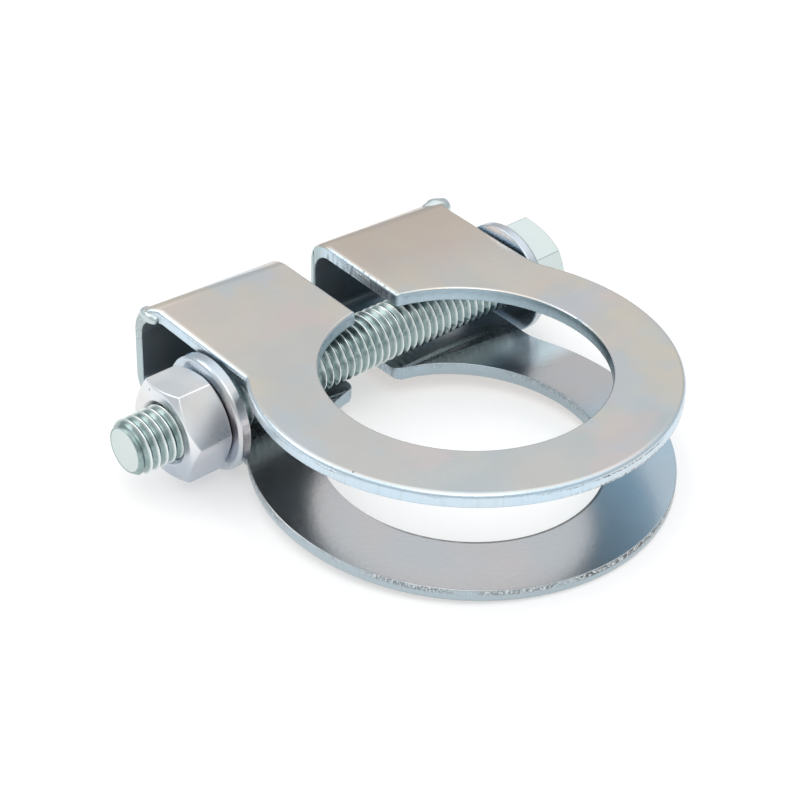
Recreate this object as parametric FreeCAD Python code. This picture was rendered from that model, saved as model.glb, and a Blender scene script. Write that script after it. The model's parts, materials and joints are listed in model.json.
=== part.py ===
"""Two-plate exhaust clamp: one folded steel strap with a slotted bore, drawn together by a hex bolt.

Frame: millimetres. The origin is on the bore's axis, half way up the clamp. +Z runs up the bore,
+Y points from the bore to the folded ears, and the bolt lies along X with its nut on the -X side.
"""
import FreeCAD, Part
import math
import os

os.makedirs("parts", exist_ok=True)
V = FreeCAD.Vector

# Strap: plan outline
bore_radius = 19.5
ring_width = 9.5
ear_inset = 4.0
web_behind_bolt = 18.3
slot_width = 7.1
slot_mouth_radius = 1.6
nut_side_blend = 1.2
head_side_blend = 9.0

# Strap: side profile of the folded sheet
sheet = 2.0
gap_at_bore = 11.4
plate_opening_deg = 3.3
upper_bend_inside = 3.0
lower_bend_inside = 2.2
bow_ahead_of_bolt = 4.7
bow_radius = 54.0
bow_turn_deg = 12.0

# Strap: the ears' rear corners, which the fold swells sideways
flare_reach = 1.0
flare_margin = 0.6

# Bolt, nut and washers
thread_diameter = 8.0
thread_pitch = 1.25
thread_depth = 0.73
crest_flat = 0.16
root_flat = 0.26
ridge_sides = 12
bolt_past_nut = 6.06
across_flats = 13.0
head_height = 5.3
nut_height = 6.5
hex_chamfer_deg = 30.0
hex_chamfer_share = 0.95
tip_chamfer = 1.1
washer_diameter = 16.4
washer_thickness = 1.75
washer_edge_roll = 0.4
nut_countersink = 0.35

# Where the bolt lies
bolt_behind_shoulder = 1.108
bolt_rise = 0.3
bolt_yaw_deg = 1.9
bolt_roll_deg = 1.5
nut_turned_deg = 24.0
head_turned_deg = -11.4

# Clearances
head_side_seat_gap = 0.1
nut_side_seat_gap = 0.5
washer_hole_clearance = 0.25
nut_seat_gap = 0.1
nut_bore_clearance = 0.25

# Derived places
ring_radius = bore_radius + ring_width
ear_half_width = ring_radius - ear_inset
shoulder = math.sqrt(ring_radius ** 2 - ear_half_width ** 2)
shank_radius = thread_diameter / 2.0
washer_outer = washer_diameter / 2.0
washer_between_plates = math.sqrt(washer_outer ** 2 - (gap_at_bore / 2.0) ** 2)
bolt_from_bore = shoulder + washer_between_plates + bolt_behind_shoulder
web_from_bore = bolt_from_bore + web_behind_bolt
bow_start = bolt_from_bore - bow_ahead_of_bolt
top_face = sheet + gap_at_bore / 2.0
overall_reach = 2.0 * (ring_radius + web_from_bore)
bolt_axis = V(1.0, math.tan(math.radians(bolt_yaw_deg)), math.tan(math.radians(bolt_roll_deg))).normalize()
washer_lean = washer_outer * math.sqrt(1.0 - bolt_axis.x ** 2)
head_washer_face = (ear_half_width + head_side_seat_gap + washer_lean) / bolt_axis.x
nut_washer_face = -(ear_half_width + nut_side_seat_gap + washer_lean) / bolt_axis.x
head_seat = head_washer_face + washer_thickness
nut_seat = nut_washer_face - washer_thickness - nut_seat_gap
bolt_tip = nut_seat - nut_height - bolt_past_nut
bolt_length = head_seat - bolt_tip


def yz(y, z):
    """A point of the side profile, in the plane x = 0."""
    return V(0.0, y, z)


def turn(point, centre, degrees):
    """The point turned about a centre in the side plane, from +Y towards +Z."""
    a = math.radians(degrees)
    dy = point.y - centre.y
    dz = point.z - centre.z
    return yz(centre.y + dy * math.cos(a) - dz * math.sin(a), centre.z + dy * math.sin(a) + dz * math.cos(a))


def arc(start, centre, degrees):
    """The arc from a start point about a centre, with the end point it reaches."""
    middle = turn(start, centre, degrees / 2.0)
    end = turn(start, centre, degrees)
    return Part.Arc(start, middle, end).toShape(), end


def outer_line():
    """The outer face of the folded sheet, from the front of the upper plate to the front of the lower one."""
    upper_radius = upper_bend_inside + sheet
    lower_radius = lower_bend_inside + sheet
    front = -overall_reach / 2.0
    opening = math.tan(math.radians(plate_opening_deg))
    lower_under_bore = -(gap_at_bore / 2.0 + sheet / math.cos(math.radians(plate_opening_deg)))
    lower_front = yz(front, lower_under_bore + front * opening)
    lower_bow = yz(bow_start, lower_under_bore + bow_start * opening)

    # the lower plate bows down behind the bore, so that the ears stand further apart at the fold
    lean = math.radians(plate_opening_deg)
    bow_centre = yz(lower_bow.y + bow_radius * math.sin(lean), lower_bow.z - bow_radius * math.cos(lean))
    bow, bow_end = arc(lower_bow, bow_centre, -bow_turn_deg)
    fall = math.radians(bow_turn_deg - plate_opening_deg)

    # the lower bend is tangent to the bowed ear and to the web
    centre_y = web_from_bore - lower_radius
    tangent_y = centre_y - lower_radius * math.sin(fall)
    tangent_z = bow_end.z - (tangent_y - bow_end.y) * math.tan(fall)
    tangent = yz(tangent_y, tangent_z)
    lower_centre = yz(centre_y, tangent_z + lower_radius * math.cos(fall))
    lower_bend, web_bottom = arc(tangent, lower_centre, 90.0 + math.degrees(fall))

    upper_centre = yz(web_from_bore - upper_radius, top_face - upper_radius)
    web_top = yz(web_from_bore, upper_centre.z)
    upper_bend, upper_rear = arc(web_top, upper_centre, 90.0)
    upper_front = yz(front, top_face)
    edges = [
        Part.LineSegment(upper_front, upper_rear).toShape(),
        upper_bend,
        Part.LineSegment(web_top, web_bottom).toShape(),
        lower_bend,
        Part.LineSegment(bow_end, tangent).toShape(),
        bow,
        Part.LineSegment(lower_bow, lower_front).toShape(),
    ]
    return Part.Wire(Part.__sortEdges__(edges))


def folded_sheet(half_width):
    """The folded sheet at full thickness, as wide as asked."""
    line = outer_line()
    inward = line.makeOffset2D(-sheet, 0, True, True, True)
    outward = line.makeOffset2D(sheet, 0, True, True, True)
    section = inward if inward.BoundBox.YMax < outward.BoundBox.YMax - sheet / 2.0 else outward
    section.translate(V(-half_width, 0, 0))
    return section.extrude(V(2.0 * half_width, 0, 0))


def block(x0, x1, y0, y1, z0, z1):
    """A box between two corners."""
    return Part.makeBox(x1 - x0, y1 - y0, z1 - z0, V(x0, y0, z0))


def blend_web(side, radius, z0, height):
    """The web of metal that rounds the inside corner between the ring and an ear's side."""
    centre_x = ear_half_width + radius
    centre_y = math.sqrt((ring_radius + radius) ** 2 - centre_x ** 2)
    reach = ring_radius / (ring_radius + radius)
    on_ring = V(side * centre_x * reach, centre_y * reach, z0)
    on_ear = V(side * ear_half_width, centre_y, z0)
    corner = V(side * (ear_half_width - radius), shoulder - radius, z0)
    inside = V(side * (ear_half_width - radius), centre_y, z0)
    centre = V(side * centre_x, centre_y, z0)
    mid = (on_ring + on_ear) * 0.5 - centre
    middle = centre + mid * (radius / mid.Length)
    edges = [
        Part.Arc(on_ring, middle, on_ear).toShape(),
        Part.LineSegment(on_ear, inside).toShape(),
        Part.LineSegment(inside, corner).toShape(),
        Part.LineSegment(corner, on_ring).toShape(),
    ]
    return Part.Face(Part.Wire(edges)).extrude(V(0, 0, height))


def plan_block():
    """Everything inside the strap's outline seen from above, as one tall block."""
    height = overall_reach
    low = -height / 2.0
    ring = Part.makeCylinder(ring_radius, height, V(0, 0, low))
    ears = block(-ear_half_width, ear_half_width, 0.0, overall_reach, low, -low)
    return ring.fuse([ears, blend_web(-1.0, nut_side_blend, low, height),
                      blend_web(1.0, head_side_blend, low, height)])


def flare_block():
    """The swollen ends of the fold, widening from the ears' width towards the web, as one tall block."""
    start = web_from_bore - upper_bend_inside - sheet - flare_margin
    full = web_from_bore - upper_bend_inside
    low = -overall_reach / 2.0
    wide = ear_half_width + flare_reach
    outline = [
        V(-ear_half_width, start, low),
        V(ear_half_width, start, low),
        V(wide, full, low),
        V(wide, overall_reach, low),
        V(-wide, overall_reach, low),
        V(-wide, full, low),
        V(-ear_half_width, start, low),
    ]
    return Part.Face(Part.makePolygon(outline)).extrude(V(0, 0, overall_reach))


def slot_block():
    """The slot through both plates and the web, with a rounded mouth at the web."""
    low = -overall_reach / 2.0
    half = slot_width / 2.0
    slot = block(-half, half, 0.0, overall_reach, low, -low)
    mouth_y = web_from_bore - slot_mouth_radius
    mouth = block(-half - slot_mouth_radius, half + slot_mouth_radius, mouth_y, overall_reach, low, -low)
    for side in (-1.0, 1.0):
        post = Part.makeCylinder(slot_mouth_radius, -2.0 * low, V(side * (half + slot_mouth_radius), mouth_y, low))
        mouth = mouth.cut(post)
    return slot.fuse(mouth)


def clamp_strap():
    """The folded strap: two slotted ring plates, two pairs of ears and the web that joins them."""
    body = folded_sheet(ear_half_width + ring_radius)
    strap = body.common(plan_block())
    lip = folded_sheet(ear_half_width + flare_reach).common(flare_block())
    strap = strap.fuse(lip)
    bore = Part.makeCylinder(bore_radius, overall_reach, V(0, 0, -overall_reach / 2.0))
    return strap.cut(bore).cut(slot_block()).removeSplitter()


def along_bolt(shape, distance, turned_deg=0.0):
    """A shape made upright along +Z, laid along the bolt's axis with its foot at a distance from the middle."""
    placed = shape.copy()
    placed.rotate(V(0, 0, 0), V(0, 0, 1), turned_deg)
    placed.rotate(V(0, 0, 0), V(0, 1, 0), 90.0)
    lean = FreeCAD.Rotation(V(1, 0, 0), bolt_axis)
    placed.rotate(V(0, 0, 0), lean.Axis, math.degrees(lean.Angle))
    placed.translate(V(0, bolt_from_bore, bolt_rise) + bolt_axis * distance)
    return placed


def hex_prism(height, lower_chamfer, upper_chamfer):
    """An upright hexagon with its corners turned off at one or both ends."""
    corner = across_flats / 2.0 / math.cos(math.radians(30.0))
    points = [V(corner * math.cos(math.radians(60.0 * i)), corner * math.sin(math.radians(60.0 * i)), 0)
              for i in range(7)]
    prism = Part.Face(Part.makePolygon(points)).extrude(V(0, 0, height))
    face_radius = across_flats / 2.0 * hex_chamfer_share
    drop = (corner - face_radius) * math.tan(math.radians(hex_chamfer_deg))
    low_radius = face_radius if lower_chamfer else corner
    low_z = drop if lower_chamfer else 0.0
    high_radius = face_radius if upper_chamfer else corner
    high_z = height - drop if upper_chamfer else height
    rim = [V(0, 0, 0), V(low_radius, 0, 0)]
    if lower_chamfer:
        rim.append(V(corner, 0, low_z))
    if upper_chamfer:
        rim.append(V(corner, 0, high_z))
    rim = rim + [V(high_radius, 0, height), V(0, 0, height), V(0, 0, 0)]
    turned = Part.Face(Part.makePolygon(rim)).revolve(V(0, 0, 0), V(0, 0, 1), 360.0)
    return prism.common(turned)


def ridged_rod(length):
    """An upright rod with the thread's ridges as many-sided rings, turned off at its lower end."""
    root_radius = shank_radius - thread_depth
    flank = (thread_pitch - crest_flat - root_flat) / 2.0
    levels = [(root_radius, 0.0)]
    for i in range(int(length / thread_pitch)):
        low = i * thread_pitch + root_flat / 2.0
        levels += [(root_radius, low), (shank_radius, low + flank), (shank_radius, low + flank + crest_flat),
                   (root_radius, low + 2.0 * flank + crest_flat)]
    levels.append((root_radius, length))
    rings = []
    for radius, height in levels:
        allowed = min(radius, shank_radius - tip_chamfer + height)
        angles = [2.0 * math.pi * i / ridge_sides for i in range(ridge_sides + 1)]
        rings.append([V(allowed * math.cos(a), allowed * math.sin(a), height) for a in angles])
    faces = [Part.Face(Part.makePolygon(rings[0])), Part.Face(Part.makePolygon(rings[-1]))]
    for low_ring, high_ring in zip(rings, rings[1:]):
        for i in range(ridge_sides):
            corners = [low_ring[i], low_ring[i + 1], high_ring[i + 1], high_ring[i], low_ring[i]]
            faces.append(Part.Face(Part.makePolygon(corners)))
    shell = Part.Shell(faces)
    shell.sewShape()
    rod = Part.Solid(shell)
    if rod.Volume < 0.0:
        rod.reverse()
    return rod


def hex_bolt():
    """The hex bolt: its ridged rod, a short plain neck under the head's washer, and its head."""
    head = hex_prism(head_height, False, True)
    ridged = bolt_length - washer_thickness
    neck = Part.makeCylinder(shank_radius, washer_thickness + head_height / 2.0, V(0, 0, ridged))
    top = along_bolt(head, head_seat, head_turned_deg).fuse(along_bolt(neck, bolt_tip)).removeSplitter()
    return top.fuse(along_bolt(ridged_rod(ridged), bolt_tip))


def washer():
    """A flat stamped washer with its outer corners rolled over on one face."""
    hole = shank_radius + washer_hole_clearance
    profile = [
        V(hole, 0, 0),
        V(washer_outer, 0, 0),
        V(washer_outer, 0, washer_thickness - washer_edge_roll),
        V(washer_outer - washer_edge_roll, 0, washer_thickness),
        V(hole, 0, washer_thickness),
        V(hole, 0, 0),
    ]
    return Part.Face(Part.makePolygon(profile)).revolve(V(0, 0, 0), V(0, 0, 1), 360.0)


def turned_back(shape, height):
    """The same piece, turned over so that its other face is down."""
    turned = shape.copy()
    turned.rotate(V(0, 0, 0), V(1, 0, 0), 180.0)
    turned.translate(V(0, 0, height))
    return turned


def hex_nut():
    """The hex nut, chamfered on both faces, with a countersunk bore."""
    hole = shank_radius + nut_bore_clearance
    nut = hex_prism(nut_height, True, True)
    bore = Part.makeCylinder(hole, nut_height)
    lower_sink = Part.makeCone(hole + nut_countersink, hole, nut_countersink)
    upper_sink = Part.makeCone(hole, hole + nut_countersink, nut_countersink, V(0, 0, nut_height - nut_countersink))
    return nut.cut(bore.fuse([lower_sink, upper_sink]))


def main():
    """Build every piece and write one file for each."""
    pieces = {
        "clamp_strap": clamp_strap(),
        "hex_bolt": hex_bolt(),
        "head_washer": along_bolt(washer(), head_washer_face),
        "nut_washer": along_bolt(turned_back(washer(), washer_thickness), nut_washer_face - washer_thickness),
        "hex_nut": along_bolt(hex_nut(), nut_seat - nut_height, nut_turned_deg),
    }
    for name, shape in pieces.items():
        solid = shape.Solids[0] if len(shape.Solids) == 1 else shape
        solid.exportStep("parts/" + name + ".step")
        box = solid.BoundBox
        print(name, len(shape.Solids), solid.isValid(), round(solid.Volume, 1),
              "x %.2f %.2f y %.2f %.2f z %.2f %.2f" % (box.XMin, box.XMax, box.YMin, box.YMax, box.ZMin, box.ZMax))


main()
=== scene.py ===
# %% Load the fixed frame
import json
import math

import bmesh
import bpy
from mathutils import Matrix, Vector, noise


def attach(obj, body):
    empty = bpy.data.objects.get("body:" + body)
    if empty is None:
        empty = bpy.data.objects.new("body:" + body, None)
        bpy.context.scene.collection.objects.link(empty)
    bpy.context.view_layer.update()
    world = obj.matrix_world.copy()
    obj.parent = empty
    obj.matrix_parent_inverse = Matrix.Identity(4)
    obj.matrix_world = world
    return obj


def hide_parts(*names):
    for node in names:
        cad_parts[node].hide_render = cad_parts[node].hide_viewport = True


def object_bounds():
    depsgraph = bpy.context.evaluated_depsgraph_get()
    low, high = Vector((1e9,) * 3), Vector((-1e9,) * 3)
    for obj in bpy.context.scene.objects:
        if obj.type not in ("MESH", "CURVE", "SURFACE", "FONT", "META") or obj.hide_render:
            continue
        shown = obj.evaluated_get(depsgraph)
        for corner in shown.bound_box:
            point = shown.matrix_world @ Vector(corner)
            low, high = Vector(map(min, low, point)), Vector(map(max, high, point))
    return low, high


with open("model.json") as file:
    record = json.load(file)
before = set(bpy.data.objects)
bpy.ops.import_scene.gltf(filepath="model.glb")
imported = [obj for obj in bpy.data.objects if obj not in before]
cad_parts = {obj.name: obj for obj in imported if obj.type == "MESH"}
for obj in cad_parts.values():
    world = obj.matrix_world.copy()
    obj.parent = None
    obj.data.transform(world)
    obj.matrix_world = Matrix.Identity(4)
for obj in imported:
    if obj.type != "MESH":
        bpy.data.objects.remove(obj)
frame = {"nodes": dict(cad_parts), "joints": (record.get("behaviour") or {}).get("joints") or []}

# %% [markdown]
# This scene dresses a two-plate exhaust clamp. The real object is one strip of plated steel, folded at the
# back into two ring plates with slotted ears, and a hex bolt with a nut and two flat washers that draws the
# ears' slot together. The solids give the places and sizes. Here each one gets its small forms (rolled and
# sheared edges, a real thread, turned hexagon corners) and its finish.

# %% The solids' box and the bolt's own line
MM = 0.001
cad_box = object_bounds()
nodes = frame["nodes"]
bolt_joint = [j for j in frame["joints"] if j["name"] == "bolt_turn"][0]
bolt_point = Vector(bolt_joint["pos_m"])
bolt_line = Vector(bolt_joint["axis"]).normalized()


def reach_along_bolt(node):
    """How far a solid reaches along the bolt's line, in millimetres from the bolt's middle."""
    places = [(v.co - bolt_point).dot(bolt_line) / MM for v in nodes[node].data.vertices]
    return min(places), max(places)


tip_end, head_end = reach_along_bolt("hex_bolt")
nut_outer, nut_inner = reach_along_bolt("hex_nut")
nut_washer_outer, nut_washer_inner = reach_along_bolt("nut_washer")
head_washer_inner, head_washer_outer = reach_along_bolt("head_washer")
print("bolt from %.2f to %.2f mm, nut from %.2f to %.2f mm" % (tip_end, head_end, nut_outer, nut_inner))

# %% [markdown]
# The photograph's viewpoint was found by fitting a camera to the edges of the bore, ring, ears and bolt. The
# camera is given by where it stands and by its three own directions, so it can be typed in as a matrix. Its
# small shift puts the object where the photograph has it in the frame.

# %% Camera
camera_place_mm = (-169.32, -193.34, 174.65)
camera_right = Vector((0.767629, -0.639677, 0.039479))
camera_up = Vector((0.321239, 0.437335, 0.839967))
camera_back = Vector((-0.554573, -0.632101, 0.541200))
camera_data = bpy.data.cameras.new("photo_camera")
camera_data.lens = 104.82
camera_data.sensor_width = 36.0
camera_data.shift_x = -0.0855
camera_data.shift_y = -0.0566
camera_data.clip_start = 0.01
camera_data.clip_end = 20.0
camera = bpy.data.objects.new("photo_camera", camera_data)
turned = Matrix((camera_right, camera_up, camera_back)).transposed().to_4x4()
camera.matrix_world = Matrix.Translation(Vector(camera_place_mm) * MM) @ turned
bpy.context.scene.collection.objects.link(camera)
bpy.context.scene.camera = camera
print("camera %.0f mm from the clamp" % (camera.matrix_world.translation.length / MM))

# %% [markdown]
# Finishes are written as sums. The class below stands for one number on its way through a material's nodes,
# so that a mask can be written as 1 - noise, and each sign adds the Math node that does the same. Every other
# node comes from one method, which takes the node's type, its settings and what goes into its sockets.


# %% Shader sums
class Value:
    """A number in a material, which can be added, taken away, multiplied and compared."""

    def __init__(self, finish, socket):
        self.finish = finish
        self.socket = socket

    def math(self, operation, first, second):
        return self.finish.node("ShaderNodeMath", {"operation": operation}, {0: first, 1: second}).value()

    def __add__(self, other):
        return self.math("ADD", self, other)

    def __radd__(self, other):
        return self.math("ADD", other, self)

    def __sub__(self, other):
        return self.math("SUBTRACT", self, other)

    def __rsub__(self, other):
        return self.math("SUBTRACT", other, self)

    def __mul__(self, other):
        return self.math("MULTIPLY", self, other)

    def __gt__(self, other):
        return self.math("GREATER_THAN", self, other)

    def __lt__(self, other):
        return self.math("LESS_THAN", self, other)

    def between(self, low, high):
        """0 below low, 1 above high, and a smooth step from one to the other."""
        steps = {"interpolation_type": "SMOOTHSTEP"}
        return self.finish.node("ShaderNodeMapRange", steps, {0: self, 1: low, 2: high}).value()


class Made:
    """A node that has been made, whose outputs are asked for by name."""

    def __init__(self, finish, node):
        self.finish = finish
        self.node = node

    def value(self, name=0):
        return Value(self.finish, self.node.outputs[name])


# %% [markdown]
# A finish is one material while it is being made. It knows the place on the piece in the piece's own
# coordinates, so a mask can say where on the clamp a colour lies, and it has a short name for each kind of
# node that the finishes use: noise, a coordinate, a blend of two colours, a bump and scattered specks.


# %% A finish under construction
class Finish:
    """A material under construction, with one method that adds nodes."""

    def __init__(self, name):
        self.material = bpy.data.materials.new(name)
        self.material.use_nodes = True
        self.tree = self.material.node_tree
        self.shader = self.tree.nodes["Principled BSDF"]
        self.place = self.node("ShaderNodeTexCoord", {}, {}).value("Object")

    def node(self, kind, settings, sockets):
        made = self.tree.nodes.new(kind)
        for key, setting in settings.items():
            setattr(made, key, setting)
        for key, given in sockets.items():
            self.feed(made.inputs[key], given)
        return Made(self, made)

    def feed(self, socket, given):
        if isinstance(given, Value):
            self.tree.links.new(given.socket, socket)
        else:
            socket.default_value = given

    def surface(self, sockets):
        for key, given in sockets.items():
            self.feed(self.shader.inputs[key], given)

    def stretched(self, scale):
        """The place on the piece, stretched so that a pattern runs longer one way."""
        return self.node("ShaderNodeMapping", {}, {"Vector": self.place, "Scale": scale}).value()

    def noise(self, scale, detail=2.0, roughness=0.5, place=None):
        sockets = {"Vector": place or self.place, "Scale": scale, "Detail": detail, "Roughness": roughness}
        return self.node("ShaderNodeTexNoise", {}, sockets).value("Fac")

    def axis(self, name):
        """One coordinate of the place on the piece, in metres."""
        return self.node("ShaderNodeSeparateXYZ", {}, {0: self.place}).value(name)

    def along(self, name, low_mm, high_mm):
        """0 before one place along an axis and 1 after another, with a smooth step between them."""
        return self.axis(name).between(low_mm * MM, high_mm * MM)

    def vector(self, operation, first, second=None, output="Vector"):
        """A sum of vectors, or a length or product that comes out of them."""
        sockets = {0: first} if second is None else {0: first, 1: second}
        return self.node("ShaderNodeVectorMath", {"operation": operation}, sockets).value(output)

    def off_bore_axis(self):
        """The distance from the bore's axis, in metres."""
        return self.vector("LENGTH", self.vector("MULTIPLY", self.place, (1.0, 1.0, 0.0)), output="Value")

    def blend(self, share, first, second, way="MIX"):
        """Two colours mixed by a share."""
        settings = {"data_type": "RGBA", "blend_type": way}
        return self.node("ShaderNodeMix", settings, {0: share, 6: first, 7: second}).value(2)

    def bump(self, height, depth, strength=1.0, under=None):
        sockets = {"Height": height, "Distance": depth, "Strength": strength}
        if under is not None:
            sockets["Normal"] = under
        return self.node("ShaderNodeBump", {}, sockets).value("Normal")

    def specks(self, scale, radius, share):
        """Small round specks, one in some of the cells of a cell pattern."""
        cells = self.node("ShaderNodeTexVoronoi", {}, {"Vector": self.place, "Scale": scale})
        lot = self.node("ShaderNodeSeparateColor", {}, {0: cells.value("Color")}).value(0)
        near = 1.0 - cells.value("Distance").between(radius * 0.5, radius)
        return near * (lot < share)


# %% [markdown]
# The strap is zinc plated and then passivated, which leaves a satin grey that drifts towards pink, straw and
# blue by a few percent. Under the plating the rolled sheet has a fine grain. Slow noises shift the colour,
# a fast one gives the grain as a bump, and a few dark specks are marks of handling.

# %% Finish of the strap's outer faces
straw_grey = (0.715, 0.640, 0.570, 1.0)
cool_grey = (0.525, 0.580, 0.605, 1.0)
brown_shade_grey = (0.590, 0.495, 0.415, 1.0)
straw_tint = (0.720, 0.655, 0.545, 1.0)
pink_tint = (0.690, 0.590, 0.590, 1.0)
blue_tint = (0.540, 0.620, 0.690, 1.0)
speck_grey = (0.10, 0.10, 0.10, 1.0)
root_shade_teal = (0.200, 0.290, 0.290, 1.0)
drift_scale = 38.0
straw_scale = 62.0
pink_scale = 85.0
blue_scale = 70.0
speck_scale = 260.0
cloud_scale = 190.0
wave_scale = 95.0
wave_height = 0.12 * MM
share_of_place = 0.55
patch_strength = 0.75


def plated(name, first, second, roughness, grain_scale, grain_depth, tints=1.0, share=None, roots=None,
           patch=None, patch_colour=None):
    """A zinc plated finish: drifting colour, fine grain, cloudy gloss and a few dark specks.

    share is a mask of the second colour, roots a mask of painted shade deep in a thread, and patch a mask of
    one more colour, which here is a painted highlight or a tone with painted shade.
    """
    finish = Finish(name)
    drift = finish.noise(drift_scale, 3.0, 0.55).between(0.36, 0.64)
    if share is not None:
        drift = drift * (1.0 - share_of_place) + share(finish) * share_of_place
    colour = finish.blend(drift, first, second)
    straw = finish.noise(straw_scale, 3.0).between(0.50, 0.68) * (0.55 * tints)
    colour = finish.blend(straw, colour, straw_tint)
    shorter = finish.stretched((1.0, 1.4, 1.0))
    pink = finish.noise(pink_scale, 3.0, 0.5, shorter).between(0.53, 0.68) * (0.50 * tints)
    colour = finish.blend(pink, colour, pink_tint)
    narrower = finish.stretched((1.3, 1.0, 1.0))
    blue = finish.noise(blue_scale, 3.0, 0.5, narrower).between(0.54, 0.70) * (0.55 * tints)
    colour = finish.blend(blue, colour, blue_tint)
    # The patch colour is a painted highlight on the thread's crests, and a brownish tone with painted shade
    # on the strap's ear.
    if patch is not None:
        colour = finish.blend(patch(finish) * patch_strength, colour, patch_colour)
    marks = finish.specks(speck_scale, 0.055, 0.10)
    colour = finish.blend(marks * 0.8, colour, speck_grey)
    # Painted shade deep in a thread's roots.
    if roots is not None:
        colour = finish.blend(roots(finish), colour, root_shade_teal)
    grain = finish.noise(grain_scale, 1.5, 0.6)
    cloud = finish.noise(cloud_scale, 3.0)
    waves = finish.noise(wave_scale, 1.0)
    level = finish.bump(waves, wave_height, 0.5)
    normal = finish.bump(grain, grain_depth, 0.45, level)
    gloss = roughness + (cloud - 0.5) * 0.14 + (grain - 0.5) * 0.06
    finish.surface({"Base Color": colour, "Metallic": 1.0, "Roughness": gloss, "Normal": normal})
    return finish.material


def toward_ring(finish):
    """0 on the ears, where the passivation is warmer, and 1 at the front of the ring and on the back."""
    to_the_ears = finish.along("Y", -4.0, 30.0)
    right_side = finish.along("X", 10.0, 25.0)
    back = finish.along("Y", 37.5, 39.0)
    return (1.0 - to_the_ears) * (1.0 - right_side * 0.80) + back * 0.9


# Partly painted shade: the ear on the bolt's head side is painted browner and darker, as if less light falls
# on it.
def head_side_ear_shade(finish):
    """1 on the ear at the bolt's head, which is browner and darker: a brownish tone with painted shade."""
    return finish.along("X", 0.0, 6.0) * finish.along("Y", 14.0, 34.0)


strap_face = plated("plated_strap", straw_grey, cool_grey, roughness=0.25, grain_scale=1100.0,
                    grain_depth=0.004 * MM, share=toward_ring, patch=head_side_ear_shade, patch_colour=brown_shade_grey)
print("strap finish has", len(strap_face.node_tree.nodes), "nodes")

# %% [markdown]
# Inside the fold the faces are painted with shade: darker and bluish on the underside of the upper plate, on
# the web and on the lower plate below the ears, and bright again on the lower ring. One mask from the place
# on the strap mixes the two. The lower ring carries a painted blue reflection at its front right, and where
# the painted shade ends, at the right of the lower ring, a pale blue painted highlight shows. The bore's rim
# keeps a ragged dark line from the punch.

# %% Finish of the strap's inner faces
bright_cool = (0.460, 0.485, 0.505, 1.0)
bright_warm = (0.500, 0.480, 0.485, 1.0)
ring_reflection_blue = (0.400, 0.560, 0.680, 1.0)
fold_shade_teal = (0.215, 0.345, 0.420, 1.0)
fold_shade_warm = (0.360, 0.335, 0.335, 1.0)
fold_shade_blue = (0.340, 0.520, 0.650, 1.0)
flash_highlight_blue = (0.78, 0.88, 0.94, 1.0)
mark_grey = (0.55, 0.58, 0.60, 1.0)
burr_dark = (0.130, 0.130, 0.125, 1.0)
burr_bright = (0.850, 0.840, 0.800, 1.0)


def inner_face(name):
    """The inside of the fold: painted shade above and under the ears, and bright zinc on the lower ring with
    a painted reflection and a painted highlight.
    """
    finish = Finish(name)
    drift = finish.noise(48.0, 3.0, 0.55).between(0.36, 0.64)
    wander = finish.noise(140.0, 3.0)
    above = finish.along("Z", -4.0, 2.0)
    under_ears = finish.along("Y", 12.0, 26.0)
    # Painted shade: this mask darkens the underside of the upper plate, the web and the lower plate under the
    # ears.
    fold_shade = 1.0 - (1.0 - above) * (1.0 - under_ears)
    bright = finish.blend(drift, bright_cool, bright_warm)
    in_front = 1.0 - finish.along("Y", -10.0, 2.0)
    # Painted reflection: a blue band on the front right of the lower ring.
    ring_reflection = finish.along("X", 4.0, 16.0) * in_front * (0.75 + (drift - 0.5) * 0.5)
    bright = finish.blend(ring_reflection, bright, ring_reflection_blue)
    # The dark colour inside the fold is painted shade, bluer on the right under the upper plate.
    dark = finish.blend(wander, fold_shade_teal, fold_shade_warm)
    dark = finish.blend(above * finish.along("X", 4.0, 18.0) * 0.9, dark, fold_shade_blue)
    colour = finish.blend(fold_shade, bright, dark)
    # Painted highlight: a pale blue band at the right of the lower ring, where the painted shade ends.
    flash_highlight = finish.along("Y", 7.5, 11.0) * (1.0 - finish.along("Y", 14.5, 17.5))
    flash_highlight = flash_highlight * (1.0 - above) * finish.along("X", 17.0, 22.0)
    colour = finish.blend(flash_highlight * 0.8, colour, flash_highlight_blue)
    at_rim = 1.0 - finish.off_bore_axis().between(19.8 * MM, 20.0 * MM)
    at_rim = at_rim * (1.0 - finish.along("Y", -12.0, -4.0))
    colour = finish.blend(at_rim * wander.between(0.35, 0.5) * 0.8, colour, burr_dark)
    marks = finish.specks(420.0, 0.07, 0.16)
    colour = finish.blend(marks * 0.6, colour, mark_grey)
    grain = finish.noise(1700.0, 4.0, 0.65)
    normal = finish.bump(grain, 0.022 * MM, 0.7)
    gloss = 0.22 + fold_shade * 0.12 + (grain - 0.5) * 0.16
    metal = 1.0 - above * 0.12 - under_ears * 0.12 - ring_reflection * 0.28 - flash_highlight * 0.30
    finish.surface({"Base Color": colour, "Metallic": metal, "Roughness": gloss, "Normal": normal})
    return finish.material


strap_inside = inner_face("plated_strap_inside")

# %% [markdown]
# The sheet was cut with a punch, and a punched edge is not like a rolled face: its upper part is burnished
# and its lower part torn, with fine lines along the punch's stroke. A pattern stretched along the thickness
# of the sheet draws those lines. Where the punch left the sheet there is a burr, a ragged line of dark and
# bright crumbs that comes and goes, and a fainter one runs under the rolled edge.

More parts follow.
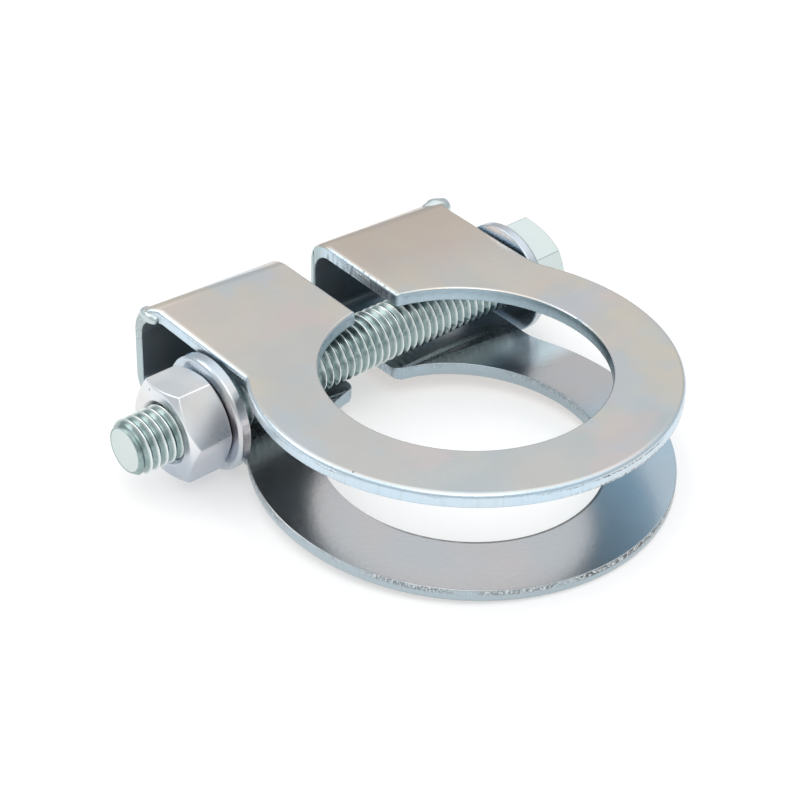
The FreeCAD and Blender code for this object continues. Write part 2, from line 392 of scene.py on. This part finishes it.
# %% Finish of the sheared edges
lower_plate_slope = math.tan(math.radians(3.3))
inner_gap_half = 5.7 * MM
bore_wall_within = 20.5 * MM
slot_begins = 19.5 * MM
slot_reach = 5.0 * MM
edge_blue = (0.565, 0.690, 0.780, 1.0)
edge_grey = (0.600, 0.675, 0.725, 1.0)
bore_wall_shade_blue = (0.370, 0.490, 0.560, 1.0)
bore_wall_shade = (0.20, 0.27, 0.30, 1.0)
torn_dark = (0.30, 0.32, 0.34, 1.0)
stroke_dark = (0.24, 0.27, 0.29, 1.0)
fold_end_grey = (0.36, 0.44, 0.44, 1.0)
lower_edge_grey = (0.40, 0.46, 0.49, 1.0)


def sheared(name):
    """The punched edge of the sheet: lines along the stroke, a torn lower part, a cooler colour and painted
    shade on the bore's wall.
    """
    finish = Finish(name)
    strokes = finish.noise(1.0, 3.0, 0.6, finish.stretched((2200.0, 2200.0, 260.0)))
    torn = finish.noise(1500.0, 4.0, 0.7)
    crumbs = finish.noise(3000.0, 3.0, 0.7)
    comes_and_goes = finish.noise(110.0, 2.0).between(0.42, 0.60)
    drift = finish.noise(60.0, 2.0).between(0.35, 0.65)
    side = finish.axis("X")
    height = finish.axis("Z")
    on_lower = height < 0.0
    in_bore = finish.off_bore_axis() < bore_wall_within
    in_slot = (finish.axis("Y") > slot_begins) * (1.0 - (side > slot_reach)) * (side > -slot_reach)
    colour = finish.blend(drift, edge_blue, edge_grey)
    # Painted shade: the bore's wall is darker and bluer than the other edges.
    colour = finish.blend(in_bore * 0.75, colour, bore_wall_shade_blue)
    colour = finish.blend(torn.between(0.62, 0.76) * 0.25, colour, torn_dark)
    colour = finish.blend(strokes.between(0.50, 0.66) * (0.10 + in_slot * 0.80), colour, stroke_dark)
    colour = finish.blend(finish.along("Y", 35.0, 37.5) * 0.75, colour, fold_end_grey)
    # More painted shade on the right part of the bore's wall.
    colour = finish.blend(in_bore * finish.along("X", 12.0, 19.0) * 0.5, colour, bore_wall_shade)
    low_edge = (1.0 - finish.along("Z", -5.0, -3.5)) * (1.0 - finish.along("Y", 15.0, 25.0))
    colour = finish.blend(low_edge * 0.75, colour, lower_edge_grey)
    over_lower = height - finish.axis("Y") * lower_plate_slope + inner_gap_half
    over_upper = inner_gap_half - height
    at_burr = over_lower.between(-0.9 * MM, -0.6 * MM) * on_lower
    at_burr = at_burr + over_upper.between(-0.5 * MM, -0.2 * MM) * (1.0 - on_lower) * 0.5
    under_roll = finish.along("Z", 6.82, 6.90) * (1.0 - finish.along("Z", 7.02, 7.10))
    front_right = finish.along("X", -12.0, 4.0) * (1.0 - finish.along("Y", -12.0, 6.0))
    ragged = at_burr * (comes_and_goes * 0.6 + front_right) * (1.0 - in_bore * 0.6)
    ragged = ragged + under_roll * (1.0 - in_bore) * comes_and_goes
    colour = finish.blend(ragged * crumbs.between(0.47, 0.54), colour, burr_dark)
    colour = finish.blend(ragged * (1.0 - crumbs.between(0.38, 0.46)), colour, burr_bright)
    level = finish.bump(strokes, 0.05 * MM, 0.5)
    level = finish.bump(torn, 0.02 * MM, 0.3, level)
    normal = finish.bump(crumbs * ragged, 0.20 * MM, 1.0, level)
    gloss = 0.30 + (torn - 0.5) * 0.24
    finish.surface({"Base Color": colour, "Metallic": 1.0, "Roughness": gloss, "Normal": normal})
    return finish.material


strap_edge = sheared("sheared_edge")

# %% [markdown]
# The bolt, washers and nut come from a barrel plating line, so they are brighter and are nicked all over by
# each other. They use the same recipe with other colours and a deeper grain. In the thread the roots get
# painted shade and the crests a painted highlight, and how far out a point lies from the bolt's axis tells
# them apart. The nut's upper flats are painted light and its lower flats painted shade.

# %% Finishes of the bolt, washers and nut
shank_until = 25.5 * MM
crest_highlight = (0.900, 0.950, 0.940, 1.0)


def out_from_bolt_axis(finish):
    """The distance out from the bolt's axis, and 1 on the shank or 0 on the head."""
    start = finish.vector("SUBTRACT", finish.place, bolt_point)
    along = finish.vector("PROJECT", start, bolt_line)
    out = finish.vector("LENGTH", finish.vector("SUBTRACT", start, along), output="Value")
    forward = finish.vector("DOT_PRODUCT", start, bolt_line, output="Value")
    return out, forward < shank_until


def thread_root_shade(finish):
    """1 deep in the thread, where the roots get painted shade, and 0 on its crests and on the head."""
    out, on_shank = out_from_bolt_axis(finish)
    in_groove = out.between(2.95 * MM, 3.10 * MM) * (1.0 - out.between(3.60 * MM, 3.90 * MM))
    return in_groove * on_shank * (0.80 + (finish.noise(900.0, 2.0) - 0.5) * 0.6)


def thread_crest_highlight(finish):
    """1 on the thread's crests, which get a painted highlight."""
    out, on_shank = out_from_bolt_axis(finish)
    return out.between(3.86 * MM, 3.96 * MM) * on_shank


def nut_flats_light_and_shade(finish):
    """0 on the nut's upper flats, which are painted light, and 1 on its lower ones, which are painted shade.
    """
    return 1.0 - finish.along("Z", -4.0, 4.0)


bolt_face = plated("plated_bolt", (0.510, 0.620, 0.605, 1.0), (0.590, 0.655, 0.645, 1.0), roughness=0.26,
                   grain_scale=1500.0, grain_depth=0.030 * MM, tints=0.3, roots=thread_root_shade,
                   patch=thread_crest_highlight, patch_colour=crest_highlight)
washer_face = plated("plated_washer", (0.480, 0.570, 0.650, 1.0), (0.550, 0.590, 0.635, 1.0), roughness=0.26,
                     grain_scale=1700.0, grain_depth=0.030 * MM, tints=0.7)
# Painted light and shade: the nut's upper flats are pale and its lower flats dark and bluish.
nut_face = plated("plated_nut", (0.930, 0.930, 0.930, 1.0), (0.480, 0.530, 0.600, 1.0), roughness=0.30,
                  grain_scale=1900.0, grain_depth=0.022 * MM, tints=0.5, share=nut_flats_light_and_shade)
print("bolt finish has", len(bolt_face.node_tree.nodes), "nodes")

# %% [markdown]
# Helpers that every piece uses: one turns a finished bmesh into an object that rides on its body and takes
# the place of its solid, and one adds a narrow rounded edge, because no real edge is perfectly sharp and the
# thin bright line along it is what makes metal look solid.

# %% Helpers for the pieces
flat_area = 60.0 * MM * MM
flat_corners = 20
sharp_edge = math.radians(22.0)
roll_segments = 3


def to_piece(bm, name, body, node, materials):
    """The mesh as an object that shows instead of its solid.

    A face that is large or has many corners is a true flat, and the others are small parts of a curve.
    """
    bmesh.ops.recalc_face_normals(bm, faces=bm.faces)
    mesh = bpy.data.meshes.new(name)
    for face in bm.faces:
        face.smooth = face.calc_area() < flat_area and len(face.verts) < flat_corners
    bm.to_mesh(mesh)
    bm.free()
    for material in materials:
        mesh.materials.append(material)
    piece = bpy.data.objects.new(name, mesh)
    bpy.context.scene.collection.objects.link(piece)
    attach(piece, body)
    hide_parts(node)
    print(name, len(mesh.vertices), "points", len(mesh.polygons), "faces")
    return piece


def round_edges(piece, width_mm, by_weight=False):
    """A narrow rounding along the piece's sharp edges, or along those that have a weight."""
    rounding = piece.modifiers.new("rounded_edges", "BEVEL")
    rounding.width = width_mm * MM
    rounding.segments = roll_segments
    rounding.profile = 0.5
    rounding.limit_method = "WEIGHT" if by_weight else "ANGLE"
    rounding.angle_limit = sharp_edge
    rounding.harden_normals = True
    rounding.use_clamp_overlap = False
    rounding.miter_outer = "MITER_ARC"


def laid_along_bolt(bm, distance_mm, turned_deg=0.0):
    """Lay a mesh that was made upright, in millimetres, along the bolt's line."""
    lean = Vector((1.0, 0.0, 0.0)).rotation_difference(bolt_line).to_matrix().to_4x4()
    upright_to_x = Matrix.Rotation(math.radians(90.0), 4, "Y")
    spun = Matrix.Rotation(math.radians(turned_deg), 4, "Z")
    place = Matrix.Translation(bolt_point + bolt_line * distance_mm * MM)
    whole = place @ lean @ upright_to_x @ spun @ Matrix.Scale(MM, 4)
    bmesh.ops.transform(bm, matrix=whole, verts=bm.verts)


# %% [markdown]
# The strap's shape is right in the solid, so its copy is merged into one skin and its flat triangles are
# joined into whole faces. What the solid lacks is the way the punch left the sheet's edges: it pulls the
# outer face down into a soft roll and leaves the inner face with a crisp burr. Each long edge gets a weight
# for how round it is. The rules below tell the outer faces, the punched walls and the inner faces apart by
# where they lie and which way they look.

# %% Rules for the strap's faces and edges
roll_width_mm = 0.68
bore_share = 0.45
burr_share = 0.22
upper_corner_share = 0.60
lower_corner_rounding = 1.3
corner_least = math.radians(38.0)
doubles_within = 0.002 * MM
flat_within = math.radians(0.4)

# How far a face's normal has to point up, back or sideways, and where the sheet's parts begin.
faces_up = 0.3
faces_back = 0.5
faces_sideways = 0.1
wall_tilt_most = 0.35
upper_plate_above = 4.5
lower_plate_below = -6.0
back_beyond = 37.5
fold_beyond = 34.0
bore_edge_within = 20.0
bore_ends = 19.3

# The upright edges between slot and bore.
slot_corner_x = 3.55
slot_corner_slack = 0.05
slot_corner_from = 18.5
slot_corner_to = 19.8
upright_least = 1.5


def merged_copy(node):
    """A solid's loose triangles as one skin with whole flat faces."""
    bm = bmesh.new()
    bm.from_mesh(nodes[node].data)
    bmesh.ops.remove_doubles(bm, verts=bm.verts, dist=doubles_within)
    bmesh.ops.dissolve_limit(bm, angle_limit=flat_within, verts=bm.verts, edges=bm.edges)
    return bm


def is_outer_face(face):
    """True on the side of the sheet that the punch met first: the top, the back and the underside."""
    middle = face.calc_center_median() / MM
    upper = face.normal.z > faces_up and middle.z > upper_plate_above
    lower = face.normal.z < -faces_up and middle.z < lower_plate_below
    back = face.normal.y > faces_back and middle.y > back_beyond and abs(face.normal.x) < faces_sideways
    return upper or lower or back


def is_sheared(face):
    """True on the walls that the punch cut: the outline, the bore and the slot."""
    middle = face.calc_center_median() / MM
    on_fold = middle.y > fold_beyond and abs(face.normal.x) < faces_sideways
    return abs(face.normal.z) < wall_tilt_most and not on_fold


def finish_index(face):
    """0 on the outer faces, 1 on the sheared edges and 2 on the inner faces."""
    if is_sheared(face):
        return 1
    return 0 if is_outer_face(face) else 2


def edge_middle(edge):
    """The middle of an edge, in millimetres."""
    return (edge.verts[0].co + edge.verts[1].co) / 2.0 / MM


def roundness(edge):
    """The share of the full roll that an edge has: all of it outside, less at the bore, little inside."""
    if not any(is_outer_face(face) for face in edge.link_faces):
        return burr_share
    middle = edge_middle(edge)
    at_bore = math.hypot(middle.x, middle.y) < bore_edge_within and middle.y < bore_ends
    return bore_share if at_bore else 1.0


def slot_corners(bm, lower):
    """The upright edges where the slot runs into the bore, on one plate."""
    found = []
    for edge in bm.edges:
        middle = edge_middle(edge)
        upright = abs(edge.verts[0].co.z - edge.verts[1].co.z) > upright_least * MM
        at_slot = abs(abs(middle.x) - slot_corner_x) < slot_corner_slack
        at_corner = at_slot and slot_corner_from < middle.y < slot_corner_to
        if upright and at_corner and (middle.z < 0.0) == lower:
            found.append(edge)
    return found


print("full roll %.2f mm wide, %.2f mm at the bore" % (roll_width_mm, roll_width_mm * bore_share))

# %% [markdown]
# Now the rules are put to use. The lower plate's two corners between slot and bore are rounded first, with a
# wide bevel of their own. Then every face gets its finish and every sharp edge its weight, and one bevel
# modifier rolls them all.

# %% The strap
strap_mesh = merged_copy("clamp_strap")
corners = slot_corners(strap_mesh, True)
bmesh.ops.bevel(strap_mesh, geom=corners, offset=lower_corner_rounding * MM, affect="EDGES", segments=4,
                profile=0.5, material=-1)
print("slot corners rounded below:", len(corners))
weights = strap_mesh.edges.layers.float.new("bevel_weight_edge")
for face in strap_mesh.faces:
    face.material_index = finish_index(face)
rolled = 0
for edge in strap_mesh.edges:
    if len(edge.link_faces) == 2 and edge.calc_face_angle() >= corner_least:
        edge[weights] = roundness(edge)
        rolled += 1
for edge in slot_corners(strap_mesh, False):
    edge[weights] = upper_corner_share
print("edges with a roll or burr:", rolled)
strap = to_piece(strap_mesh, "strap", "strap", "clamp_strap",
                 [strap_face, strap_edge, strap_inside])
round_edges(strap, roll_width_mm, by_weight=True)

# %% [markdown]
# Where the sheet is folded hard, the metal inside the bend is squeezed and has to go somewhere, so it swells
# out at the two ends of the fold. Each swelling is a small ball, stretched and sunk into the corner, with its
# skin pressed in here and there by noise. The one at the head's side stands a little proud of the upper
# plate, though lower than the bolt's head.

# %% The swollen ends of the fold
swell_noise_scale = 700.0
swell_noise_reach = 0.30 * MM


def swelling(name, place_mm, radii_mm, material):
    """A lump of squeezed metal at one end of the fold."""
    centre = Vector(place_mm) * MM
    bm = bmesh.new()
    bmesh.ops.create_icosphere(bm, subdivisions=4, radius=1.0)
    bmesh.ops.scale(bm, verts=bm.verts, vec=Vector(radii_mm) * MM)
    bmesh.ops.translate(bm, verts=bm.verts, vec=centre)
    for vert in bm.verts:
        push = abs(noise.noise(vert.co * swell_noise_scale)) * swell_noise_reach
        vert.co += (centre - vert.co).normalized() * push
    for face in bm.faces:
        face.smooth = True
    mesh = bpy.data.meshes.new(name)
    bm.to_mesh(mesh)
    bm.free()
    mesh.materials.append(material)
    piece = bpy.data.objects.new(name, mesh)
    bpy.context.scene.collection.objects.link(piece)
    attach(piece, "strap")
    print(name, len(mesh.polygons), "faces")


squeezed = plated("squeezed_metal", (0.520, 0.600, 0.610, 1.0), (0.590, 0.630, 0.640, 1.0), roughness=0.30,
                  grain_scale=1500.0, grain_depth=0.020 * MM, tints=0.2)
swelling("fold_swelling_head_side", (24.7, 36.6, 6.40), (2.6, 1.8, 1.55), squeezed)
swelling("fold_swelling_nut_side", (-25.1, 36.8, 6.05), (1.2, 2.2, 1.05), squeezed)

# %% [markdown]
# A thread is one small profile swept round and forward at the same time. The spin operator does both: it
# turns the profile about the bolt's axis and moves it on by a share of the pitch at each step. One turn is
# made that way and then copied along the rod, two turns, four and so on. Each turn's end meets the next one's
# start, so merging the doubles closes the thread into one surface.

# %% Thread
pitch_mm = 1.25
thread_radius = 4.0
thread_seam = 0.01
steps_per_turn = 48
spare_turns = 2
thread_profile = [(3.27, 0.0), (3.30, 0.13), (3.93, 0.53), (4.0, 0.58), (4.0, 0.67), (3.93, 0.72),
                  (3.30, 1.12), (3.27, 1.25)]


def threaded_rod(length_mm, tip_radius, tip_chamfer):
    """An upright rod with a right-hand thread, cut flat at both ends and turned off at its lower end."""
    bm = bmesh.new()
    start = -spare_turns * pitch_mm
    points = [bm.verts.new((radius, 0.0, start + along)) for radius, along in thread_profile]
    for first, second in zip(points, points[1:]):
        bm.edges.new((first, second))
    forward = (0.0, 0.0, pitch_mm / steps_per_turn)
    bmesh.ops.spin(bm, geom=bm.verts[:] + bm.edges[:], cent=(0, 0, 0), axis=(0, 0, 1), dvec=forward,
                   angle=math.radians(360.0), steps=steps_per_turn)
    turns = 1
    while turns * pitch_mm < length_mm + 2 * spare_turns * pitch_mm:
        copies = bmesh.ops.duplicate(bm, geom=bm.verts[:] + bm.edges[:] + bm.faces[:])["geom"]
        moved = [item for item in copies if isinstance(item, bmesh.types.BMVert)]
        bmesh.ops.translate(bm, verts=moved, vec=(0.0, 0.0, turns * pitch_mm))
        turns *= 2
    bmesh.ops.remove_doubles(bm, verts=bm.verts, dist=thread_seam)
    for height, facing in ((0.0, (0, 0, -1)), (length_mm, (0, 0, 1))):
        geometry = bm.verts[:] + bm.edges[:] + bm.faces[:]
        cut = bmesh.ops.bisect_plane(bm, geom=geometry, plane_co=(0, 0, height), plane_no=facing,
                                     clear_outer=True)
        rim = [item for item in cut["geom_cut"] if isinstance(item, bmesh.types.BMEdge)]
        bmesh.ops.edgeloop_fill(bm, edges=rim)
    for vert in bm.verts:
        out = math.hypot(vert.co.x, vert.co.y)
        allowed = tip_radius + vert.co.z * (thread_radius - tip_radius) / tip_chamfer
        if out > allowed:
            vert.co.x *= allowed / out
            vert.co.y *= allowed / out
    return bm


print("thread %.2f mm in radius, %.2f mm a turn" % (thread_radius, pitch_mm))

# %% [markdown]
# Hexagon heads and nuts are turned to a shallow cone before or after they are formed, and the cone cuts a
# curved line into each flat. A ring of points is pushed out from the face to the hexagon, and each point is
# lowered by how far out it lies, which draws that curved line by itself.

# %% Hexagons
across_flats = 13.0
hex_chamfer_share = 0.95
cone_slope = math.tan(math.radians(30.0))
points_round = 96


def hexagon_radius(angle):
    """The distance from the middle to the hexagon's side, in the direction of an angle."""
    sixth = math.radians(60.0)
    return across_flats / 2.0 / math.cos((angle % sixth) - sixth / 2.0)


def set_ring(verts, radius, height):
    """Move a ring of points to a radius and a height, each one a number or a rule for an angle."""
    for vert in verts:
        angle = math.atan2(vert.co.y, vert.co.x)
        out = radius(angle) if callable(radius) else radius
        up = height(angle) if callable(height) else height
        vert.co = (out * math.cos(angle), out * math.sin(angle), up)


def next_ring(bm, verts, radius, height):
    """Pull a new ring of points out of the last one."""
    edges = list({edge for vert in verts for edge in vert.link_edges
                  if edge.other_vert(vert) in verts and len(edge.link_faces) < 2})
    pulled = bmesh.ops.extrude_edge_only(bm, edges=edges)["geom"]
    ring = [item for item in pulled if isinstance(item, bmesh.types.BMVert)]
    set_ring(ring, radius, height)
    return ring


def hexagon(height_mm, low_turned, hole=None, sink=0.0):
    """An upright hexagon with its corners turned off, with or without a countersunk hole."""
    flat = across_flats / 2.0 * hex_chamfer_share
    bm = bmesh.new()
    inner = hole + sink if hole else flat
    bmesh.ops.create_circle(bm, cap_ends=not hole, segments=points_round, radius=inner)
    ring = list(bm.verts)

    def drop(angle):
        return (hexagon_radius(angle) - flat) * cone_slope

    if hole:
        ring = next_ring(bm, ring, flat, 0.0)
    ring = next_ring(bm, ring, hexagon_radius, drop if low_turned else 0.0)
    ring = next_ring(bm, ring, hexagon_radius, lambda angle: height_mm - drop(angle))
    ring = next_ring(bm, ring, flat, height_mm)
    if hole:
        ring = next_ring(bm, ring, inner, height_mm)
        ring = next_ring(bm, ring, hole, height_mm - sink)
        ring = next_ring(bm, ring, hole, sink)
        next_ring(bm, ring, inner, 0.0)
        bmesh.ops.remove_doubles(bm, verts=bm.verts, dist=0.001)
    else:
        rim = [edge for edge in bm.edges if len(edge.link_faces) == 1]
        bmesh.ops.edgeloop_fill(bm, edges=rim)
    return bm


print("hexagons %.1f mm across flats" % across_flats)

# %% [markdown]
# The bolt is the threaded rod and a hexagon in one mesh. The rod runs a little way into the head, and its
# tip is drawn in by a hair, so that the finished bolt is no longer than its solid. Only the edges of the head
# get a bevel weight, because rounding the thread would wash it out.

# %% The bolt
head_height = 5.3
head_turned_deg = -11.4
head_edge_least = math.radians(20.0)
head_edges_beyond = 5.0
seat_slack = 0.05
hexagon_edge_round = 0.16
tip_chamfer = 1.0
tip_radius = 3.25
tip_inset = 0.03
tip_face = tip_end + tip_inset
head_seat = head_end - head_height
rod_into_head = 0.6


def joined(first, second):
    """Two meshes in one."""
    spare = bpy.data.meshes.new("spare")
    second.to_mesh(spare)
    second.free()
    first.from_mesh(spare)
    bpy.data.meshes.remove(spare)
    return first


rod = threaded_rod(head_seat - tip_face + rod_into_head, tip_radius, tip_chamfer)
laid_along_bolt(rod, tip_face)
head = hexagon(head_height, False)
laid_along_bolt(head, head_seat, head_turned_deg)
bolt_mesh = joined(rod, head)
head_weights = bolt_mesh.edges.layers.float.new("bevel_weight_edge")
head_edges = 0
for edge in bolt_mesh.edges:
    away = [vert.co - bolt_point for vert in edge.verts]
    on_head = all(part.dot(bolt_line) > (head_seat - seat_slack) * MM for part in away)
    outside = all(part.cross(bolt_line).length > head_edges_beyond * MM for part in away)
    if on_head and outside and len(edge.link_faces) == 2 and edge.calc_face_angle() > head_edge_least:
        edge[head_weights] = 1.0
        head_edges += 1
print("edges of the head:", head_edges)
bolt = to_piece(bolt_mesh, "bolt", "bolt", "hex_bolt", [bolt_face])
round_edges(bolt, hexagon_edge_round, by_weight=True)

# %% [markdown]
# The nut is the same hexagon with a countersunk hole, turned on both faces. Its hole closes round the
# thread's crests, so that the bolt looks screwed in and not dropped through.

# %% The nut
nut_turned_deg = 24.0
nut_hole = 4.06
nut_countersink = 0.54
nut_mesh = hexagon(nut_inner - nut_outer, True, nut_hole, nut_countersink)
laid_along_bolt(nut_mesh, nut_outer, nut_turned_deg)
nut = to_piece(nut_mesh, "nut", "nut", "hex_nut", [nut_face])
round_edges(nut, hexagon_edge_round)

# %% [markdown]
# A washer is stamped, so one face has a softly rolled corner and the other a crisp one. Its section is spun
# once round, with the last step merged into the first. The nut's washer is the same, turned over.

# %% The washers
washer_outer = 8.2
washer_hole = 4.25
washer_edge_roll = 0.4
washer_edge_round = 0.2


def washer(thickness_mm):
    """An upright washer whose upper face has the rolled corner."""
    bm = bmesh.new()
    section = [(washer_hole, 0.0), (washer_outer, 0.0), (washer_outer, thickness_mm - washer_edge_roll),
               (washer_outer - washer_edge_roll, thickness_mm), (washer_hole, thickness_mm)]
    points = [bm.verts.new((radius, 0.0, height)) for radius, height in section]
    for first, second in zip(points, points[1:] + points[:1]):
        bm.edges.new((first, second))
    bmesh.ops.spin(bm, geom=bm.verts[:] + bm.edges[:], cent=(0, 0, 0), axis=(0, 0, 1),
                   angle=math.radians(360.0), steps=points_round, use_merge=True)
    bmesh.ops.remove_doubles(bm, verts=bm.verts, dist=0.001)
    return bm


head_washer_mesh = washer(head_washer_outer - head_washer_inner)
laid_along_bolt(head_washer_mesh, head_washer_inner)
head_washer = to_piece(head_washer_mesh, "washer_at_head", "bolt", "head_washer",
                       [washer_face])
round_edges(head_washer, washer_edge_round)

nut_washer_mesh = washer(nut_washer_inner - nut_washer_outer)
bmesh.ops.rotate(nut_washer_mesh, verts=nut_washer_mesh.verts, cent=(0, 0, 0),
                 matrix=Matrix.Rotation(math.radians(180.0), 3, "X"))
laid_along_bolt(nut_washer_mesh, nut_washer_inner)
nut_washer = to_piece(nut_washer_mesh, "washer_at_nut", "travelling_washer", "nut_washer",
                      [washer_face])
round_edges(nut_washer, washer_edge_round)

# %% [markdown]
# The clamp lies on its lower plate on a plain floor. The floor is a middle grey that glows a little, so that
# with the light of the room it turns as white as the ground behind a product, and still takes the clamp's
# soft shadow.

# %% Floor
floor_drop = 0.1 * MM
floor_half = 3.0
floor_darker = (0.59, 0.59, 0.59, 1.0)
floor_lighter = (0.61, 0.61, 0.61, 1.0)
floor_glow = 0.43
floor_mesh = bmesh.new()
bmesh.ops.create_grid(floor_mesh, x_segments=1, y_segments=1, size=floor_half)
bmesh.ops.translate(floor_mesh, verts=floor_mesh.verts, vec=(0, 0, cad_box[0].z - floor_drop))
floor_data = bpy.data.meshes.new("floor")
floor_mesh.to_mesh(floor_data)
floor_mesh.free()
floor = bpy.data.objects.new("floor", floor_data)
bpy.context.scene.collection.objects.link(floor)
floor_finish = Finish("white_floor")
floor_tone = floor_finish.noise(6.0, 2.0).between(0.3, 0.7)
floor_colour = floor_finish.blend(floor_tone, floor_darker, floor_lighter)
floor_finish.surface({"Base Color": floor_colour, "Roughness": 0.9, "Specular IOR Level": 0.0,
                      "Emission Color": (1.0, 1.0, 1.0, 1.0), "Emission Strength": floor_glow})
floor_data.materials.append(floor_finish.material)
print("floor at %.2f mm" % (cad_box[0].z / MM))

# %% [markdown]
# The world is the room that the plated faces mirror. A ramp goes by how high a direction points, from the
# horizon at 0 to straight up at 1: a cool grey at the sides, a warmer grey above it, and white overhead,
# which the flat top of the ring reflects as an even satin grey.

# %% World
world = bpy.data.worlds.new("studio")
world.use_nodes = True
bpy.context.scene.world = world
sky = world.node_tree
background = sky.nodes["Background"]
direction = sky.nodes.new("ShaderNodeTexCoord")
height_above = sky.nodes.new("ShaderNodeSeparateXYZ")
sky.links.new(direction.outputs["Generated"], height_above.inputs[0])
ramp = sky.nodes.new("ShaderNodeValToRGB")
sky_stops = [
    (0.0, (0.52, 0.57, 0.61, 1.0)),
    (0.20, (0.62, 0.65, 0.67, 1.0)),
    (0.42, (0.74, 0.74, 0.73, 1.0)),
    (0.60, (0.84, 0.85, 0.86, 1.0)),
    (0.74, (1.25, 1.27, 1.28, 1.0)),
    (1.0, (1.45, 1.46, 1.47, 1.0)),
]
while len(ramp.color_ramp.elements) < len(sky_stops):
    ramp.color_ramp.elements.new(0.5)
for element, (position, tone) in zip(ramp.color_ramp.elements, sky_stops):
    element.position = position
    element.color = tone
sky.links.new(height_above.outputs["Z"], ramp.inputs[0])
sky.links.new(ramp.outputs[0], background.inputs["Color"])
print("sky stops:", len(sky_stops))

# %% [markdown]
# Product light is soft. Two broad square lamps, one above the front and one behind at the left, add the
# highlights along the rolled edges and on the thread. Each looks at the clamp's middle.


# %% Lamps
def softbox(name, place_mm, size_mm, watts, colour):
    """A broad square lamp that looks at the clamp's middle."""
    lamp_data = bpy.data.lights.new(name, "AREA")
    lamp_data.shape = "SQUARE"
    lamp_data.size = size_mm * MM
    lamp_data.energy = watts
    lamp_data.color = colour
    lamp = bpy.data.objects.new(name, lamp_data)
    place = Vector(place_mm) * MM
    lamp.matrix_world = Matrix.Translation(place) @ place.to_track_quat("Z", "Y").to_matrix().to_4x4()
    bpy.context.scene.collection.objects.link(lamp)
    print(name, "%.0f mm away" % (place.length / MM))


softbox("top_front", (-260.0, -300.0, 620.0), 420.0, 0.7, (1.0, 0.99, 0.98))
softbox("back_left", (-420.0, 420.0, 420.0), 360.0, 0.7, (1.0, 0.98, 0.95))

# %% [markdown]
# The Standard view shows the colours as they are. The box of the solids is printed.

# %% View
bpy.context.scene.view_settings.view_transform = "Standard"
print("solids", [round(c / MM, 2) for corner in cad_box for c in corner])
